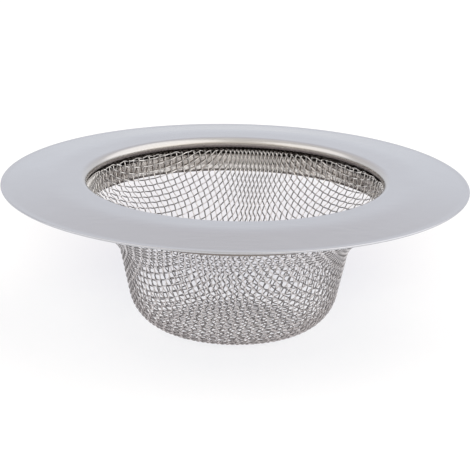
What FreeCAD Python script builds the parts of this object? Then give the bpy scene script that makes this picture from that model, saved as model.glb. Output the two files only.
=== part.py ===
import FreeCAD, Part
import math
import os
import re
import Sketcher
from FreeCAD import Placement, Rotation, Vector

# Sink strainer: a pressed steel rim, a clamping collar and a basket of woven wire.
# Millimetres, +Z up, origin under the middle of the basket's floor.

SIZES = {
    "overall_height": 37.5,
    "rim_diameter": 114.0,
    "rim_sheet": 0.5,
    "rim_flat_width": 7.4,
    "rim_fall": 1.5,
    "rim_land": 1.5,
    "lip_setback": 0.1,
    "lip_roll": 1.5,
    "collar_sheet": 0.4,
    "collar_drop": 8.7,
    "collar_leaf": 2.0,
    "seat_clearance": 0.05,
    "neck_diameter": 72.0,
    "shoulder_round": 2.5,
    "waist_diameter": 55.8,
    "waist_drop": 15.8,
    "waist_round": 9.0,
    "floor_diameter": 46.6,
    "floor_round": 10.3,
    "mesh_pitch": 1.69,
    "mesh_turn": 37.5,
    "mesh_cone": 23.0,
    "mesh_tuck": 0.7,
    "wire_radius": 0.2,
    "wire_sag": 0.36,
}

doc = FreeCAD.newDocument("strainer")
sheet = doc.addObject("Spreadsheet::Sheet", "Sizes")
for row, (alias, size) in enumerate(SIZES.items(), start=1):
    sheet.set(f"A{row}", alias)
    sheet.set(f"B{row}", str(size))
    sheet.setAlias(f"B{row}", alias)
doc.recompute()


def on_sheet(expression):
    """The expression with each named size read from the sheet."""
    return re.sub(r"[a-z]+_[a-z_]+", lambda word: "Sizes." + word.group(), expression)


def length(expression):
    """The value of an expression on the named sizes."""
    return float(sheet.evalExpression(on_sheet(expression)))


# Turned sheet pieces

def turned(label, corners):
    """Body turned about Z from a closed outline, whose corners are (radius, height) expressions."""
    body = doc.addObject("PartDesign::Body", label)
    sketch = body.newObject("Sketcher::SketchObject", label + "_outline")
    plane = next(f for f in body.Origin.OriginFeatures if f.Role == "XZ_Plane")
    sketch.AttachmentSupport = [(plane, "")]
    sketch.MapMode = "FlatFace"
    points = [Vector(length(radius), length(height), 0) for radius, height in corners]
    for start, end in zip(points, points[1:] + points[:1]):
        sketch.addGeometry(Part.LineSegment(start, end), False)
    for line, corner in enumerate(corners):
        before = (line - 1) % len(corners)
        sketch.addConstraint(Sketcher.Constraint("Coincident", before, 2, line, 1))
        for kind, expression in zip(("DistanceX", "DistanceY"), corner):
            number = sketch.addConstraint(Sketcher.Constraint(kind, line, 1, length(expression)))
            sketch.setExpression(f"Constraints[{number}]", on_sheet(expression))
    revolution = body.newObject("PartDesign::Revolution", label + "_turn")
    revolution.Profile = sketch
    revolution.ReferenceAxis = (sketch, ["V_Axis"])
    revolution.Angle = 360
    body.Tip = revolution


def half_round(radius, bends):
    """Corners of the rolled lip's half circle, from its top round the bore side to its bottom."""
    turns = [180 * step / bends for step in range(bends + 1)]
    return [
        (f"{crest} - ({radius}) * sin({turn} deg)", f"{roll_centre} + ({radius}) * cos({turn} deg)")
        for turn in turns
    ]


# Rim: flat inner band, outer band sloping down to a narrow level edge, inner edge rolled under
crest = "neck_diameter / 2 + lip_setback + lip_roll"
roll_centre = "overall_height - lip_roll"
rim_edge = "rim_diameter / 2"
land_edge = f"({rim_edge} - rim_land)"
flat_edge = f"{crest} + rim_flat_width"
sloped_band = [
    (flat_edge, "overall_height"),
    (land_edge, "overall_height - rim_fall"),
    (rim_edge, "overall_height - rim_fall"),
]
turned("rim_flange", [
    *sloped_band,
    *reversed([(radius, f"{height} - rim_sheet") for radius, height in sloped_band]),
    *half_round("lip_roll - rim_sheet", 2),
    *reversed(half_round("lip_roll", 4)),
])

# Collar: band behind the top of the mesh, leaf turned out under the lip, and wall up to the rim's underside
layer = "(wire_radius + wire_sag / 2)"
weave_half = f"({layer} + wire_radius)"
collar_face = f"neck_diameter / 2 + {weave_half} + seat_clearance"
collar_foot = "overall_height - collar_drop"
leaf_top = f"overall_height - 2 * lip_roll - 2 * {weave_half} - 2 * seat_clearance"
wall_face = f"{collar_face} + collar_leaf"
wall_top = "overall_height - rim_sheet - seat_clearance"
turned("collar_ring", [
    (collar_face, collar_foot),
    (f"{collar_face} + collar_sheet", collar_foot),
    (f"{collar_face} + collar_sheet", f"{leaf_top} - collar_sheet"),
    (f"{wall_face} + collar_sheet", f"{leaf_top} - collar_sheet"),
    (f"{wall_face} + collar_sheet", wall_top),
    (wall_face, wall_top),
    (wall_face, leaf_top),
    (collar_face, leaf_top),
])


# Basket wall: the middle of the weave, as a line from the floor's centre to the edge under the lip

ARC_STEPS = 24


def rounded_line(corners):
    """Points along a line with rounded corners: each corner is (radius, height, rounding)."""
    at = [Vector(radius, height, 0) for radius, height, rounding in corners]
    line = at[:1]
    for before, corner, after, (radius, height, rounding) in zip(at, at[1:], at[2:], corners[1:]):
        back = (before - corner).normalize()
        ahead = (after - corner).normalize()
        half_angle = back.getAngle(ahead) / 2
        centre = corner + (back + ahead).normalize() * (rounding / math.sin(half_angle))
        spoke = corner + back * (rounding / math.tan(half_angle)) - centre
        sweep = math.degrees(math.pi - 2 * half_angle)
        for step in range(ARC_STEPS + 1):
            turn = Rotation(back.cross(ahead), -sweep * step / ARC_STEPS)
            line.append(centre + turn.multVec(spoke))
    return line + at[-1:]


half_weave = length(weave_half)
neck = length("neck_diameter / 2")
tuck_height = length(f"{leaf_top} + seat_clearance + {weave_half}")
WALL = rounded_line([
    (0, half_weave, 0),
    (length("floor_diameter / 2"), half_weave, length("floor_round")),
    (length("waist_diameter / 2"), length("overall_height - waist_drop"), length("waist_round")),
    (neck, length(collar_foot), length("shoulder_round")),
    (neck, tuck_height, half_weave),
    (neck + length("mesh_tuck"), tuck_height, 0),
])
RUN = [0.0]
for first, second in zip(WALL, WALL[1:]):
    RUN.append(RUN[-1] + (second - first).Length)
reach = RUN[-1]


def on_wall(run, angle, offset):
    """Point at a distance along the wall's line and an angle round the axis, offset out of the basket."""
    k = max(1, next((n for n, end in enumerate(RUN) if end >= run), len(RUN) - 1))
    along = (WALL[k] - WALL[k - 1]).normalize()
    at = WALL[k - 1] + along * (run - RUN[k - 1]) + Vector(along.y, -along.x, 0) * offset
    return Vector(at.x * math.cos(angle), at.x * math.sin(angle), at.y)


# Weave: square cells laid over a plain cone cup, where they lean to fit, then carried onto the wall

NEWTON_STEPS = 12
CELL_STEPS = 4
pitch = length("mesh_pitch")
cone = math.radians(length("mesh_cone"))
cup_round = length("floor_round")
cup_floor = length("floor_diameter / 2") - cup_round * math.tan((math.pi / 2 - cone) / 2)
cup_bend = cup_round * (math.pi / 2 - cone)


def on_cup(run, angle):
    """Point of the plain cup: flat floor, round corner and straight cone."""
    bend = min(max(run - cup_floor, 0), cup_bend) / cup_round
    straight = max(run - cup_floor - cup_bend, 0)
    radius = min(run, cup_floor) + cup_round * math.sin(bend) + straight * math.sin(cone)
    height = cup_round * (1 - math.cos(bend)) + straight * math.cos(cone)
    return Vector(radius * math.cos(angle), radius * math.sin(angle), height)


def fourth_corner(one, other):
    """The run and angle of the cell corner one pitch from two known corners, by Newton's method."""
    run = max(one[0], other[0]) + pitch / 2
    angle = (one[1] + other[1]) / 2
    nudge = pitch / 1000
    for _ in range(NEWTON_STEPS):
        at = on_cup(run, angle)
        further = (on_cup(run + nudge, angle) - at) / nudge
        around = (on_cup(run, angle + nudge) - at) / nudge
        sides = [at - on_cup(*one), at - on_cup(*other)]
        (a, b), (c, d) = [(side.dot(further), side.dot(around)) for side in sides]
        e, f = [(side.dot(side) - pitch**2) / 2 for side in sides]
        determinant = a * d - b * c
        run -= (e * d - b * f) / determinant
        angle -= (a * f - e * c) / determinant
    return run, angle


def quarter_net():
    """Cell corners of a quarter of the weave as {(column, row): (run, angle)}, to just past the rim."""
    count = int(reach / pitch) + 2
    net = {(0, 0): (0.0, 0.0)}
    for k in range(1, count):
        net[k, 0] = (k * pitch, 0.0)
        net[0, k] = (k * pitch, math.pi / 2)
    for column in range(1, count):
        for row in range(1, count):
            one, other = net.get((column - 1, row)), net.get((column, row - 1))
            if one and other and min(one[0], other[0]) < reach:
                net[column, row] = fourth_corner(one, other)
    return net


def half_wire(net, column, offset):
    """Points of a wire from the middle of its column out to the rim, straight on the flattened wall."""
    places = []
    while (column, len(places)) in net:
        run, angle = net[column, len(places)]
        places.append(Vector(run * math.cos(angle), run * math.sin(angle), 0))
    points = []
    for place, after in zip(places, places[1:]):
        for step in range(CELL_STEPS):
            flat = place + (after - place) * (step / CELL_STEPS)
            if flat.Length <= reach:
                points.append(on_wall(flat.Length, math.atan2(flat.y, flat.x), offset))
    return points


def bowed(points):
    """How far the points bow from the straight line between the first and the last."""
    span = points[-1] - points[0]
    return max((p - points[0]).cross(span).Length / span.Length for p in points)


def thinned(points, sag):
    """The points of a straight-sided line whose every side is as long as the sag lets it be."""
    kept = [0]
    for here in range(2, len(points)):
        if bowed(points[kept[-1] : here + 1]) > sag:
            kept.append(here - 1)
    return [points[k] for k in kept] + points[-1:]


def wire(points, radius):
    """Solid wire of three-sided section along a line of points, mitred where it bends."""
    heading = (points[1] - points[0]).normalize()
    across = heading.cross(Vector(0, 0, 1)).normalize() * radius
    ring = [points[0] + Rotation(heading, turn).multVec(across) for turn in (0, 120, 240)]
    rings = [ring]
    for k, point in enumerate(points[1:], start=1):
        onward = (points[k + 1] - point).normalize() if k + 1 < len(points) else heading
        mitre = heading + onward
        ring = [p + heading * ((point - p).dot(mitre) / heading.dot(mitre)) for p in ring]
        rings.append(ring)
        heading = onward
    outlines = [rings[0], rings[-1]]
    for one, other in zip(rings, rings[1:]):
        outlines += [[one[k - 1], one[k], other[k], other[k - 1]] for k in range(len(ring))]
    faces = [Part.Face(Part.makePolygon(outline + outline[:1])) for outline in outlines]
    solid = Part.Solid(Part.Shell(faces))
    if solid.Volume < 0:
        solid.reverse()
    return solid


def wires(label, offset, swap):
    """One way of the weave as separate wires; the other way is the same with X and Y changed over."""
    solids = []
    for column in sorted(column for column, row in net if row == 0):
        half = half_wire(net, column, offset)
        if len(half) <= CELL_STEPS:
            continue
        line = [Vector(p.x, -p.y, p.z) for p in half[:0:-1]] + half
        for side in (1, -1) if column else (1,):
            path = [Vector(side * p.x, p.y, p.z) for p in line]
            if swap:
                path = [Vector(p.y, p.x, p.z) for p in path]
            solids.append(wire(thinned(path, length("wire_sag")), length("wire_radius")))
    feature = doc.addObject("Part::Feature", label)
    feature.Shape = Part.makeCompound(solids)
    feature.Placement = Placement(Vector(), Rotation(Vector(0, 0, 1), length("mesh_turn")))


net = quarter_net()
wires("warp_wires", -length(layer), False)
wires("weft_wires", length(layer), True)

doc.recompute()
os.makedirs("parts", exist_ok=True)
for node in ("rim_flange", "collar_ring", "warp_wires", "weft_wires"):
    piece = doc.getObject(node)
    if "Invalid" in piece.State or "Error" in piece.State:
        raise RuntimeError(f"{node} did not compute")
    if piece.Shape.isNull() or not piece.Shape.isValid():
        raise RuntimeError(f"{node} has no valid shape")
    piece.Shape.exportStep(f"parts/{node}.step")
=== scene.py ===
import bpy
import numpy as np
from mathutils import Matrix, Vector


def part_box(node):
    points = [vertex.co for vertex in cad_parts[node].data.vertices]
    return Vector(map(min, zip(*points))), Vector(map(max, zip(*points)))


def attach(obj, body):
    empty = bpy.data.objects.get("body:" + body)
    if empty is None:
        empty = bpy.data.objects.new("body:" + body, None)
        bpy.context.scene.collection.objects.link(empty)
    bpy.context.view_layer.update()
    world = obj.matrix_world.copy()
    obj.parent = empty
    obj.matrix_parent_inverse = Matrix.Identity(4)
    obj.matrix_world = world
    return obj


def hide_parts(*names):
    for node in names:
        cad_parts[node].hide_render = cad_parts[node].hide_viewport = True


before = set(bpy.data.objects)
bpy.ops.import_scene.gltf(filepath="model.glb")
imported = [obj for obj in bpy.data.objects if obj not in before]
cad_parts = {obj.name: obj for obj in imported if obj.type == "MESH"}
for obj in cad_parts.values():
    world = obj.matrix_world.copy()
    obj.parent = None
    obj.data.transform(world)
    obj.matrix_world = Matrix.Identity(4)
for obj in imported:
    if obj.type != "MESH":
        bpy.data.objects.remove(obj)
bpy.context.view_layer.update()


# Rim: one disc pressed from thin stainless sheet. A flat band surrounds the mouth, an outer band falls
# softly away to a level edge that lies on the sink, and the inner edge is rolled under to grip the mesh.

MM = 0.001
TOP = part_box("rim_flange")[1].z / MM
RIM_INSET = 0.02
RIM_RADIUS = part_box("rim_flange")[1].x / MM - RIM_INSET
RIM_SHEET = 0.5
RIM_FALL = 1.5
BEND_RADII = (41.0, 48.0)
LAND_RADII = (55.0, 56.2)
LIP_BORE_RADIUS = 36.1
LIP_REACH = 1.9
LIP_DROP = 3.0
ROLL_STEPS = 28
BAND_STEPS = 90
EDGE_STEPS = 8
AROUND = 360


def smooth(x, low, high):
    """0 below low, 1 above high, and between them three times the square of the share of the way, less
    twice its cube."""
    t = np.clip((x - low) / (high - low), 0, 1)
    return t * t * (3 - 2 * t)


def sheet_section(middle, thickness, edge_steps):
    """Closed outline of a bent sheet: its middle line moved half a thickness to either side along its
    normal, and joined at both ends by half circles of the same width."""
    along = np.gradient(middle, axis=0)
    along /= np.linalg.norm(along, axis=1, keepdims=True)
    normal = np.stack([-along[:, 1], along[:, 0]], 1)
    half = thickness / 2
    turn = np.linspace(0, np.pi, edge_steps + 2)[1:-1, None]
    far_end = middle[-1] + half * (np.cos(turn) * normal[-1] + np.sin(turn) * along[-1])
    near_end = middle[0] - half * (np.cos(turn) * normal[0] + np.sin(turn) * along[0])
    return np.concatenate([middle + half * normal, far_end, (middle - half * normal)[::-1], near_end])


def piece_of(name, points, faces):
    """Object at the origin whose smooth mesh has the given points, in metres, and faces."""
    mesh = bpy.data.meshes.new(name)
    mesh.from_pydata(points.reshape(-1, 3), [], faces)
    mesh.shade_smooth()
    piece = bpy.data.objects.new(name, mesh)
    bpy.context.scene.collection.objects.link(piece)
    return piece


def turned(name, outline):
    """Surface of revolution: the point (u, v) is the closed outline's (radius, height) at u, turned by the
    angle v about Z. Both directions close on themselves."""
    angle = np.linspace(0, 2 * np.pi, AROUND, endpoint=False)
    radius, height = outline.T[:, :, None] * MM
    points = np.stack(np.broadcast_arrays(radius * np.cos(angle), radius * np.sin(angle), height), -1)
    count = len(outline)
    u, v = np.meshgrid(np.arange(count), np.arange(AROUND), indexing="ij")
    u_next, v_next = (u + 1) % count, (v + 1) % AROUND
    corners = [u * AROUND + v, u_next * AROUND + v, u_next * AROUND + v_next, u * AROUND + v_next]
    return piece_of(name, points, np.stack(corners, -1).reshape(-1, 4).tolist())


crest = LIP_BORE_RADIUS + LIP_REACH
turn = np.linspace(0, np.pi, ROLL_STEPS)[:-1]
roll_reach, roll_half = LIP_REACH - RIM_SHEET / 2, (LIP_DROP - RIM_SHEET) / 2
roll = np.stack([crest - roll_reach * np.sin(turn), TOP - LIP_DROP / 2 - roll_half * np.cos(turn)], 1)
band_radius = np.linspace(crest, RIM_RADIUS - RIM_SHEET / 2, BAND_STEPS)
slope = smooth(band_radius, *BEND_RADII) - smooth(band_radius, *LAND_RADII)
fallen = np.concatenate([[0], np.cumsum((slope[1:] + slope[:-1]) / 2)])
band = np.stack([band_radius, TOP - RIM_SHEET / 2 - RIM_FALL * fallen / fallen[-1]], 1)
rim = turned("rim", sheet_section(np.concatenate([roll, band]), RIM_SHEET, EDGE_STEPS))

NOISE_LIMITS = (0.3, 0.7)
GRAIN_DETAIL = 4.0
CLOUD_SCALE, CLOUD_DETAIL = 60.0, 3.0
MIX_ENDS, MIX_RESULT = (6, 7), 2


def ranged(tree, value, limits, onto=(0.0, 1.0), eased=False):
    """The value's share of the way between its limits, held between 0 and 1 and laid onto another range.
    Where it is eased, the share becomes three times its square less twice its cube."""
    node = tree.nodes.new("ShaderNodeMapRange")
    node.interpolation_type = "SMOOTHSTEP" if eased else "LINEAR"
    for socket, number in zip(("From Min", "From Max", "To Min", "To Max"), (*limits, *onto)):
        node.inputs[socket].default_value = number
    tree.links.new(value, node.inputs["Value"])
    return node.outputs["Result"]


def color_steps(tree, value, steps):
    """Colour that blends from one step to the next as the value rises: each step is (value, colour)."""
    node = tree.nodes.new("ShaderNodeValToRGB")
    tree.links.new(value, node.inputs["Fac"])
    stops = node.color_ramp.elements
    ends = (stops[0], stops[1])
    for stop, (position, color) in zip(ends, (steps[0], steps[-1])):
        stop.position = position
        stop.color = (*color, 1)
    for position, color in steps[1:-1]:
        stops.new(position).color = (*color, 1)
    return node.outputs["Color"]


def blended(tree, share, *ends):
    """Colour that runs from one end to the other with the share. An end is a socket or a plain colour."""
    node = tree.nodes.new("ShaderNodeMix")
    node.data_type = "RGBA"
    tree.links.new(share, node.inputs["Factor"])
    for number, end in zip(MIX_ENDS, ends):
        if isinstance(end, tuple):
            node.inputs[number].default_value = (*end, 1)
        else:
            tree.links.new(end, node.inputs[number])
    return node.outputs[MIX_RESULT]


def noise(tree, place, scale, detail):
    """Noise about one half, with cells of one over the scale."""
    node = tree.nodes.new("ShaderNodeTexNoise")
    node.inputs["Scale"].default_value = scale
    node.inputs["Detail"].default_value = detail
    tree.links.new(place, node.inputs["Vector"])
    return node.outputs["Fac"]


def length(tree, vector):
    """Length of the vector: the root of the sum of its squares."""
    node = tree.nodes.new("ShaderNodeVectorMath")
    node.operation = "LENGTH"
    tree.links.new(vector, node.inputs[0])
    return node.outputs["Value"]


def scaled(tree, vector, factor):
    """The vector, or the colour, times the factor."""
    node = tree.nodes.new("ShaderNodeVectorMath")
    node.operation = "SCALE"
    tree.links.new(vector, node.inputs["Vector"])
    tree.links.new(factor, node.inputs["Scale"])
    return node.outputs["Vector"]


def steel(name, tones, roughness, grain, contrast):
    """Bare steel: a metal whose colour runs through the tones given as (height in mm, colour), is darkened
    by a fine grain of up to the contrast, and whose roughness drifts with broad faint clouds."""
    material = bpy.data.materials.new(name)
    material.use_nodes = True
    tree = material.node_tree
    shader = tree.nodes["Principled BSDF"]
    shader.inputs["Metallic"].default_value = 1.0
    place = tree.nodes.new("ShaderNodeTexCoord").outputs["Object"]
    axes = tree.nodes.new("ShaderNodeSeparateXYZ")
    tree.links.new(place, axes.inputs[0])
    low, high = tones[0][0], tones[-1][0]
    share = ranged(tree, axes.outputs["Z"], (low * MM, high * MM))
    tone = color_steps(tree, share, [((height - low) / (high - low), color) for height, color in tones])
    stretch = tree.nodes.new("ShaderNodeMapping")
    stretch.inputs["Scale"].default_value = grain
    tree.links.new(place, stretch.inputs["Vector"])
    streaks = noise(tree, stretch.outputs["Vector"], 1.0, GRAIN_DETAIL)
    darkened = scaled(tree, tone, ranged(tree, streaks, NOISE_LIMITS, (1 - contrast, 1.0)))
    tree.links.new(darkened, shader.inputs["Base Color"])
    clouds = noise(tree, place, CLOUD_SCALE, CLOUD_DETAIL)
    tree.links.new(ranged(tree, clouds, NOISE_LIMITS, roughness), shader.inputs["Roughness"])
    return material


def grain_inlet(tree):
    """Socket of a steel that takes its tone before the grain darkens it."""
    return tree.nodes["Principled BSDF"].inputs["Base Color"].links[0].from_node.inputs["Vector"]


BAND_TONE = (0.54, 0.55, 0.585)
# The lip's colour by height: the warm band just below the crest is a painted reflection of warm light above,
# and the darkening down the roll to near black at its underside is painted shade and a painted dark
# reflection.
LIP_TONES_WITH_PAINTED_SHADE = [
    (TOP - 2.8, (0.12, 0.11, 0.105)),
    (TOP - 2.1, (0.24, 0.21, 0.205)),
    (TOP - 1.65, (0.36, 0.32, 0.30)),
    (TOP - 1.25, (0.58, 0.555, 0.52)),
    (TOP - 0.3, (0.55, 0.545, 0.55)),
    (TOP, BAND_TONE),
]
LIP_BLEND = 0.3
rim_steel = steel("satin_sheet", LIP_TONES_WITH_PAINTED_SHADE, roughness=(0.22, 0.26), grain=(150, 2500, 2500), contrast=0.05)
tree = rim_steel.node_tree
# Outside the crest the rim takes the band's own tone; on the lip it keeps the painted shade and reflection
# tones above.
spoke = tree.nodes.new("ShaderNodeVectorMath")
spoke.operation = "MULTIPLY"
spoke.inputs[1].default_value = (1, 1, 0)
tree.links.new(tree.nodes["Texture Coordinate"].outputs["Object"], spoke.inputs[0])
lip_edge = ((crest - LIP_BLEND) * MM, (crest + LIP_BLEND) * MM)
banded = ranged(tree, length(tree, spoke.outputs["Vector"]), lip_edge)
inlet = grain_inlet(tree)
tree.links.new(blended(tree, banded, inlet.links[0].from_socket, BAND_TONE), inlet)
rim.data.materials.append(rim_steel)
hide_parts("rim_flange")
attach(rim, "root")


# Collar: a ring of bright rolled strip that clamps the edge of the mesh. Its band stands behind the top of
# the mesh, its leaf is turned out under the rolled lip, and its wall rises outside the roll to the rim.

COLLAR_SHEET = 0.4
COLLAR_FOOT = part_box("collar_ring")[0].z / MM
COLLAR_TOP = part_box("collar_ring")[1].z / MM
COLLAR_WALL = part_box("collar_ring")[1].x / MM - COLLAR_SHEET / 2
LEAF_WIDTH = 2.0
LEAF_DROP = 4.2
COLLAR_BAND = COLLAR_WALL - LEAF_WIDTH
COLLAR_LEAF = TOP - LEAF_DROP
COLLAR_BEND = 0.35
BEND_STEPS = 12


def rounded_line(corners, steps):
    """Line from the first corner to the last: at each (radius, height, rounding) between, an arc of the
    rounding's radius touches both sides, and the arc's points are its centre plus a turning spoke."""
    at = np.array([corner[:2] for corner in corners])
    line = [at[:1]]
    for k in range(1, len(at) - 1):
        back = (at[k - 1] - at[k]) / np.linalg.norm(at[k - 1] - at[k])
        ahead = (at[k + 1] - at[k]) / np.linalg.norm(at[k + 1] - at[k])
        half = np.arccos(back @ ahead) / 2
        middle = (back + ahead) / np.linalg.norm(back + ahead)
        centre = at[k] + middle * corners[k][2] / np.sin(half)
        swing = np.linspace(half - np.pi / 2, np.pi / 2 - half, steps)[:, None]
        side = (ahead - back) / np.linalg.norm(ahead - back)
        line.append(centre + corners[k][2] * (np.sin(swing) * side - np.cos(swing) * middle))
    return np.concatenate(line + [at[-1:]])


strip = rounded_line([
    (COLLAR_BAND, COLLAR_FOOT + COLLAR_SHEET / 2, 0.0),
    (COLLAR_BAND, COLLAR_LEAF, COLLAR_BEND),
    (COLLAR_WALL, COLLAR_LEAF, COLLAR_BEND),
    (COLLAR_WALL, COLLAR_TOP - COLLAR_SHEET / 2, 0.0),
], BEND_STEPS)
collar = turned("collar", sheet_section(strip, COLLAR_SHEET, EDGE_STEPS))

# The strip's colour by height: the dark foot is a painted edge shadow, the near-white band just above it is a
# painted highlight, the middle rises through the strip's own tone, and from the leaf up, in the fold under
# the lip, it is painted near black as shade.
STRIP_TONES_WITH_PAINTED_LIGHT_AND_SHADE = [
    (COLLAR_FOOT, (0.20, 0.18, 0.17)),
    (COLLAR_FOOT + 0.55, (0.26, 0.235, 0.22)),
    (COLLAR_FOOT + 0.85, (0.98, 0.95, 0.92)),
    (COLLAR_FOOT + 1.5, (0.98, 0.95, 0.92)),
    (COLLAR_FOOT + 2.0, (0.46, 0.425, 0.40)),
    (COLLAR_LEAF - 0.6, (0.64, 0.605, 0.58)),
    (COLLAR_LEAF + 0.1, (0.06, 0.05, 0.045)),
    (COLLAR_TOP, (0.04, 0.034, 0.03)),
]
strip_steel = steel("bright_strip", STRIP_TONES_WITH_PAINTED_LIGHT_AND_SHADE, roughness=(0.06, 0.1), grain=(900, 900, 6000), contrast=0.08)
collar.data.materials.append(strip_steel)
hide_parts("collar_ring")
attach(collar, "root")


# Basket: plain-woven cloth of drawn stainless wire, pressed into a cup and held by its edge between lip and
# collar. Its square cells lean into narrow diamonds where the cloth is drawn in, and every wire is crimped
# over and under the wires that it crosses.

PITCH = 1.69
MESH_TURN = np.radians(37.5)
LEAN_CONE = np.radians(23.0)
FLOOR_RADIUS, FLOOR_ROUND = 23.3, 10.3
FLOOR_HEIGHT = 0.58
WAIST_RADIUS, WAIST_ROUND = 27.9, 9.0
WAIST_HEIGHT = TOP - 15.8
NECK_RADIUS, SHOULDER_ROUND = 36.0, 2.5
TUCK_HEIGHT, TUCK_ROUND = TOP - 2.65, 0.45
TUCK_REACH, TUCK_DIP = 1.4, 0.75
WALL_STEPS = 40
NUDGE = PITCH / 1000
SOLVE_STEPS = 12

wall = rounded_line([
    (0.0, FLOOR_HEIGHT, 0.0),
    (FLOOR_RADIUS, FLOOR_HEIGHT, FLOOR_ROUND),
    (WAIST_RADIUS, WAIST_HEIGHT, WAIST_ROUND),
    (NECK_RADIUS, COLLAR_FOOT, SHOULDER_ROUND),
    (NECK_RADIUS, TUCK_HEIGHT, TUCK_ROUND),
    (NECK_RADIUS + TUCK_REACH, TUCK_HEIGHT - TUCK_DIP, 0.0),
], WALL_STEPS)
wall_run = np.concatenate([[0], np.cumsum(np.linalg.norm(np.diff(wall, axis=0), axis=1))])
reach = wall_run[-1]
cup_floor = FLOOR_RADIUS - FLOOR_ROUND * np.tan((np.pi / 2 - LEAN_CONE) / 2)
cup_bend = FLOOR_ROUND * (np.pi / 2 - LEAN_CONE)


def on_cup(place):
    """Point of a plain cup at (run, angle): flat floor, round corner and straight cone, in that order."""
    run, angle = place[..., 0], place[..., 1]
    bend = np.clip(run - cup_floor, 0, cup_bend) / FLOOR_ROUND
    straight = np.maximum(run - cup_floor - cup_bend, 0)
    radius = np.minimum(run, cup_floor) + FLOOR_ROUND * np.sin(bend) + straight * np.sin(LEAN_CONE)
    height = FLOOR_ROUND * (1 - np.cos(bend)) + straight * np.cos(LEAN_CONE)
    return np.stack([radius * np.cos(angle), radius * np.sin(angle), height], -1)


def fourth_corners(one, other):
    """Corners one pitch from both known neighbours. At every step the place moves by the run and angle that
    would clear the misses of both squared distances if their slopes stayed as they are there."""
    place = (one + other) / 2
    place[:, 0] = np.maximum(one[:, 0], other[:, 0]) + PITCH / 2
    ends = np.stack([on_cup(one), on_cup(other)], 1)
    for _ in range(SOLVE_STEPS):
        at = on_cup(place)
        moves = np.stack([on_cup(place + [NUDGE, 0]) - at, on_cup(place + [0, NUDGE]) - at], 1) / NUDGE
        sides = at[:, None] - ends
        slopes = np.einsum("nik,njk->nij", sides, moves)
        misses = ((sides**2).sum(-1) - PITCH**2) / 2
        spread = slopes[:, 0, 0] * slopes[:, 1, 1] - slopes[:, 0, 1] * slopes[:, 1, 0]
        run_step = misses[:, 0] * slopes[:, 1, 1] - slopes[:, 0, 1] * misses[:, 1]
        angle_step = slopes[:, 0, 0] * misses[:, 1] - misses[:, 0] * slopes[:, 1, 0]
        place = place - np.stack([run_step, angle_step], 1) / spread[:, None]
    return place


def quarter_net():
    """Cell corners (run, angle) of a quarter of the weave by column and row, one diagonal after another:
    each corner lies one pitch from its two neighbours nearer the middle. Past the wall's edge there is
    none."""
    count = int(reach / PITCH) + 2
    net = np.full((count, count, 2), np.nan)
    net[:, 0, 0] = net[0, :, 0] = PITCH * np.arange(count)
    net[:, 0, 1] = 0
    net[0, 1:, 1] = np.pi / 2
    for diagonal in range(2, 2 * count - 1):
        column = np.arange(max(1, diagonal - count + 1), min(diagonal, count))
        one, other = net[column - 1, diagonal - column], net[column, diagonal - column - 1]
        inside = np.minimum(one[:, 0], other[:, 0]) < reach
        net[column[inside], diagonal - column[inside]] = fourth_corners(one[inside], other[inside])
    return net


net = quarter_net()
flat_net = net[..., :1] * np.stack([np.cos(net[..., 1]), np.sin(net[..., 1])], -1)

WIRE_RADIUS = 0.152
SIT_OUT = 0.22
CELL_STATIONS = 4
SIDES = 6
LOW_WALL = 14.0
# Painted shade on the wires: how much darker the down-tipped side of each bend is, by height.
SHADE_HEIGHTS = (0.0, LOW_WALL, COLLAR_FOOT, COLLAR_FOOT + 0.3)
SHADE_DEPTHS = (0.66, 0.84, 0.84, 0.45)
CRIMP_EDGE, CLIMB_EDGE, SIDE_EDGE = 2.0, 20.0, 3.0


def stations():
    """Stations along the wires of one way: each wire's first station and its number of stations, and each
    station's column and t. A wire keeps to its column of the net, or to the mirror image that a minus sign
    stands for. Its t counts cells from its middle, in even steps, out to where it meets the wall's edge."""
    beyond = net[..., 0] > reach
    columns = np.flatnonzero(beyond.any(1) & ~beyond[:, 0])
    outer = beyond[columns].argmax(1)
    run_in, run_out = net[columns, outer - 1, 0], net[columns, outer, 0]
    half_length = outer - 1 + (reach - run_in) / (run_out - run_in)
    columns = np.concatenate([columns, -columns[1:]])
    half_length = np.concatenate([half_length, half_length[1:]])
    counts = np.ceil(2 * CELL_STATIONS * half_length).astype(int) + 1
    first = np.cumsum(counts) - counts
    owner = np.repeat(np.arange(len(counts)), counts)
    step = np.arange(len(owner)) - first[owner]
    t = half_length[owner] * (2 * step / (counts[owner] - 1) - 1)
    return first, counts, columns[owner], t


def on_wall(column, t, crossed):
    """Points of the wall and their normals towards the axis. A station lies on a straight line between cell
    corners of the flattened net. Its distance from the middle there is its run up the wall, and its angle
    there plus the mesh's turn is its angle about Z. The crossed way has X and Y changed over."""
    cell = np.floor(np.abs(t)).astype(int)
    share = (np.abs(t) - cell)[:, None]
    inner, outer = flat_net[np.abs(column), cell], np.nan_to_num(flat_net[np.abs(column), cell + 1])
    quarter = np.stack([np.where(column < 0, -1, 1), np.where(t < 0, -1, 1)], 1)
    flat = (inner * (1 - share) + outer * share) * quarter
    if crossed:
        flat = flat[:, ::-1]
    run = np.minimum(np.hypot(flat[:, 0], flat[:, 1]), reach)
    angle = np.arctan2(flat[:, 1], flat[:, 0]) + MESH_TURN
    heading = np.gradient(wall, wall_run, axis=0)
    heading /= np.linalg.norm(heading, axis=1, keepdims=True)
    radius, height, out, up = (np.interp(run, wall_run, line)[:, None] for line in (*wall.T, *heading.T))
    outward = np.stack([np.cos(angle), np.sin(angle), np.zeros_like(angle)], 1)
    upright = np.array([0.0, 0.0, 1.0])
    return radius * outward + height * upright, out * upright - up * outward


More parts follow.
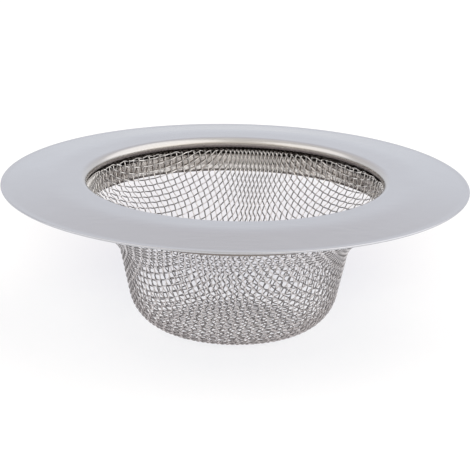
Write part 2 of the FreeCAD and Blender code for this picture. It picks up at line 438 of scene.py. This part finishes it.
def woven(name, crossed):
    """One way of the weave as round wires. A wire leaves the wall by its radius times the cosine of pi t, so
    that it passes over and under in turn, and each ring of it is a circle across it. It carries painted
    light and shade: its tone at a point is 1 where the bend, which slopes with the sine of pi t, tips that
    side of the wire up, and is less by a depth set by the height where it tips that side down."""
    first, counts, column, t = stations()
    last = first + counts - 1
    middle, normal = on_wall(column, t, crossed)
    hand = np.where(column % 2, -1, 1) * (-1 if crossed else 1)
    points = middle + (WIRE_RADIUS * hand * np.cos(np.pi * t) - SIT_OUT)[:, None] * normal
    number = np.arange(len(t))
    before, after = number - 1, number + 1
    before[first], after[last] = first, last
    along = points[after] - points[before]
    along /= np.linalg.norm(along, axis=1, keepdims=True)
    side = np.cross(along, normal)
    side /= np.linalg.norm(side, axis=1, keepdims=True)
    inward = np.cross(side, along)
    turn = 2 * np.pi * np.arange(SIDES) / SIDES
    rings = np.cos(turn)[:, None] * inward[:, None] + np.sin(turn)[:, None] * side[:, None]
    k, s = np.meshgrid(np.delete(number, last), np.arange(SIDES), indexing="ij")
    s_next = (s + 1) % SIDES
    corners = [k * SIDES + s, k * SIDES + s_next, (k + 1) * SIDES + s_next, (k + 1) * SIDES + s]
    sides = np.stack(corners, -1).reshape(-1, 4)
    caps = np.concatenate([
        first[:, None] * SIDES + np.arange(SIDES)[::-1],
        last[:, None] * SIDES + np.arange(SIDES),
    ])
    cloth = piece_of(name, (points[:, None] + WIRE_RADIUS * rings) * MM, sides.tolist() + caps.tolist())
    # Painted light and shade: each side of a wire is lighter where the bend tips it up and darker where it
    # tips it down.
    tip = np.tanh(CRIMP_EDGE * hand * np.sin(np.pi * t)) * np.tanh(CLIMB_EDGE * along[:, 2])
    facing = tip[:, None] * np.tanh(SIDE_EDGE * np.cos(turn))
    depth = np.interp(middle[:, 2], SHADE_HEIGHTS, SHADE_DEPTHS)[:, None]
    tones = cloth.data.attributes.new("crimp_painted_shade", "FLOAT", "POINT")
    tones.data.foreach_set("value", (1 - depth * (1 - facing) / 2).ravel())
    return cloth


# The wires' colour by height: darker towards the floor as painted shade, and near white towards the neck as
# painted light where they pass in front of the strip.
WIRE_TONES_WITH_PAINTED_LIGHT_AND_SHADE = [
    (0.0, (0.66, 0.61, 0.605)),
    (LOW_WALL, (0.81, 0.78, 0.785)),
    (COLLAR_FOOT - 0.5, (0.87, 0.845, 0.86)),
    (COLLAR_FOOT + 0.6, (0.97, 0.95, 0.93)),
    (TOP, (0.98, 0.96, 0.94)),
]
wire_steel = steel("drawn_wire", WIRE_TONES_WITH_PAINTED_LIGHT_AND_SHADE, roughness=(0.24, 0.32), grain=(700, 700, 700), contrast=0.15)
tree = wire_steel.node_tree
# The wires' colour is scaled by the painted light and shade stored on their points.
crimp_painted_shade = tree.nodes.new("ShaderNodeAttribute")
crimp_painted_shade.attribute_name = "crimp_painted_shade"
inlet = grain_inlet(tree)
tree.links.new(scaled(tree, inlet.links[0].from_socket, crimp_painted_shade.outputs["Fac"]), inlet)
for node, crossed in (("warp_wires", False), ("weft_wires", True)):
    cloth = woven(node.replace("_wires", ""), crossed)
    cloth.data.materials.append(wire_steel)
    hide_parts(node)
    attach(cloth, "root")


# Stage, in metres: white paper under the basket, with a faint cool shadow painted on it behind the basket,
#  where it is seen through the mesh. The room is pale, cooler behind the basket and warmer and dimmer in
#  front.
#  A wide softbox hangs high on the right, a weaker one high on the left, and a faint one stands low on the
#  right.

FLOOR_HALF = 3.0
PAPER_COLOR = (0.43, 0.42, 0.37)
PAPER_GLOW = 0.66
# Glow colours of the paper inside and outside the shadow painted behind the basket.
PAINTED_SHADOW_COLOR, CLEAR_COLOR = (0.56, 0.575, 0.72), (0.90, 0.92, 1.0)
PAINTED_SHADOW_PLACE, PAINTED_SHADOW_HALVES = (0, 0.098, 0), (0.044, 0.058, 1)
PAINTED_SHADOW_FADE = (0.5, 1.9)

floor_corners = np.array([[-1, -1, 0], [1, -1, 0], [1, 1, 0], [-1, 1, 0]]) * FLOOR_HALF
floor = piece_of("floor", floor_corners, [(0, 1, 2, 3)])


def reckoned(tree, operation, one, other):
    """One value and another put through the operation. The other is a socket or a plain number."""
    node = tree.nodes.new("ShaderNodeMath")
    node.operation = operation
    tree.links.new(one, node.inputs[0])
    if isinstance(other, float):
        node.inputs[1].default_value = other
    else:
        tree.links.new(other, node.inputs[1])
    return node.outputs[0]


paper = bpy.data.materials.new("white_paper")
paper.use_nodes = True
tree = paper.node_tree
tree.nodes.remove(tree.nodes["Principled BSDF"])
matt = tree.nodes.new("ShaderNodeBsdfDiffuse")
matt.inputs["Color"].default_value = (*PAPER_COLOR, 1)
ray = tree.nodes.new("ShaderNodeLightPath").outputs
seen = reckoned(tree, "MAXIMUM", ray["Is Camera Ray"], ray["Is Glossy Ray"])
seen = reckoned(tree, "MAXIMUM", seen, ray["Is Transmission Ray"])
# Painted shadow: inside a soft ellipse behind the basket the paper's glow turns dimmer and cooler.
painted_shadow_pool = tree.nodes.new("ShaderNodeMapping")
painted_shadow_pool.vector_type = "TEXTURE"
painted_shadow_pool.inputs["Location"].default_value = PAINTED_SHADOW_PLACE
painted_shadow_pool.inputs["Scale"].default_value = PAINTED_SHADOW_HALVES
tree.links.new(tree.nodes.new("ShaderNodeTexCoord").outputs["Object"], painted_shadow_pool.inputs["Vector"])
clear = ranged(tree, length(tree, painted_shadow_pool.outputs["Vector"]), PAINTED_SHADOW_FADE, eased=True)
glow = tree.nodes.new("ShaderNodeEmission")
tree.links.new(blended(tree, clear, PAINTED_SHADOW_COLOR, CLEAR_COLOR), glow.inputs["Color"])
tree.links.new(reckoned(tree, "MULTIPLY", seen, PAPER_GLOW), glow.inputs["Strength"])
both = tree.nodes.new("ShaderNodeAddShader")
tree.links.new(matt.outputs[0], both.inputs[0])
tree.links.new(glow.outputs[0], both.inputs[1])
tree.links.new(both.outputs[0], tree.nodes["Material Output"].inputs["Surface"])
floor.data.materials.append(paper)

BACK_TONES = [
    (0.0, (0.84, 0.86, 0.90)),
    (0.22, (0.94, 0.955, 1.0)),
    (0.55, (0.85, 0.825, 0.83)),
    (1.0, (0.97, 0.93, 0.88)),
]
FRONT_TONES = [
    (0.0, (0.45, 0.41, 0.38)),
    (0.15, (0.72, 0.68, 0.64)),
    (0.5, (0.95, 0.91, 0.86)),
]
FRONT_TO_BACK = (-0.6, 0.0)
world = bpy.data.worlds.new("studio")
bpy.context.scene.world = world
world.use_nodes = True
tree = world.node_tree
way = tree.nodes.new("ShaderNodeSeparateXYZ")
tree.links.new(tree.nodes.new("ShaderNodeTexCoord").outputs["Generated"], way.inputs[0])
front, back = (color_steps(tree, way.outputs["Z"], tones) for tones in (FRONT_TONES, BACK_TONES))
room = blended(tree, ranged(tree, way.outputs["Y"], FRONT_TO_BACK, eased=True), front, back)
tree.links.new(room, tree.nodes["Background"].inputs["Color"])

LAMP_COLOR = (1.0, 0.985, 0.97)
for name, place, width, depth, power in (
    ("right_softbox", (0.545, -0.05, 0.65), 1.5, 1.0, 3.3),
    ("left_softbox", (-0.57, -0.17, 0.60), 1.0, 0.72, 1.4),
    ("low_softbox", (0.83, -0.20, 0.20), 0.9, 0.36, 0.5),
):
    softbox = bpy.data.lights.new(name, "AREA")
    softbox.shape = "RECTANGLE"
    softbox.size, softbox.size_y = width, depth
    softbox.energy = power
    softbox.color = LAMP_COLOR
    lamp = bpy.data.objects.new(name, softbox)
    bpy.context.scene.collection.objects.link(lamp)
    lamp.location = place
    lamp.rotation_euler = Vector(place).to_track_quat("Z", "Y").to_euler()


# Camera: a long lens that looks down on the rim at about sixteen degrees from straight in front. The middle
# of the mouth is a little off the picture's middle, and the camera leans about one degree to the side.
# Its angles are in radians.

DISTANCE = 650.0
LENS, SENSOR_WIDTH = 204.75, 36.0
ELEVATION, YAW, TILT, ROLL = 0.274308, 0.000263, -0.021773, 0.018492
stand = DISTANCE * np.array([0, -np.cos(ELEVATION), np.sin(ELEVATION)])
ahead = -stand / DISTANCE
right = np.array([1.0, 0, 0])
above = np.cross(right, ahead)
ahead, right = np.cos(YAW) * ahead + np.sin(YAW) * right, np.cos(YAW) * right - np.sin(YAW) * ahead
ahead, above = np.cos(TILT) * ahead + np.sin(TILT) * above, np.cos(TILT) * above - np.sin(TILT) * ahead
right, above = np.cos(ROLL) * right + np.sin(ROLL) * above, np.cos(ROLL) * above - np.sin(ROLL) * right
lens = bpy.data.cameras.new("camera")
lens.lens = LENS
lens.sensor_width = SENSOR_WIDTH
camera = bpy.data.objects.new("camera", lens)
bpy.context.scene.collection.objects.link(camera)
pose = np.eye(4)
pose[:3, :3] = np.stack([right, above, -ahead], 1)
pose[:3, 3] = (stand + [0, 0, TOP]) * MM
camera.matrix_world = Matrix(pose.tolist())
bpy.context.scene.camera = camera
bpy.context.scene.view_settings.view_transform = "Standard"
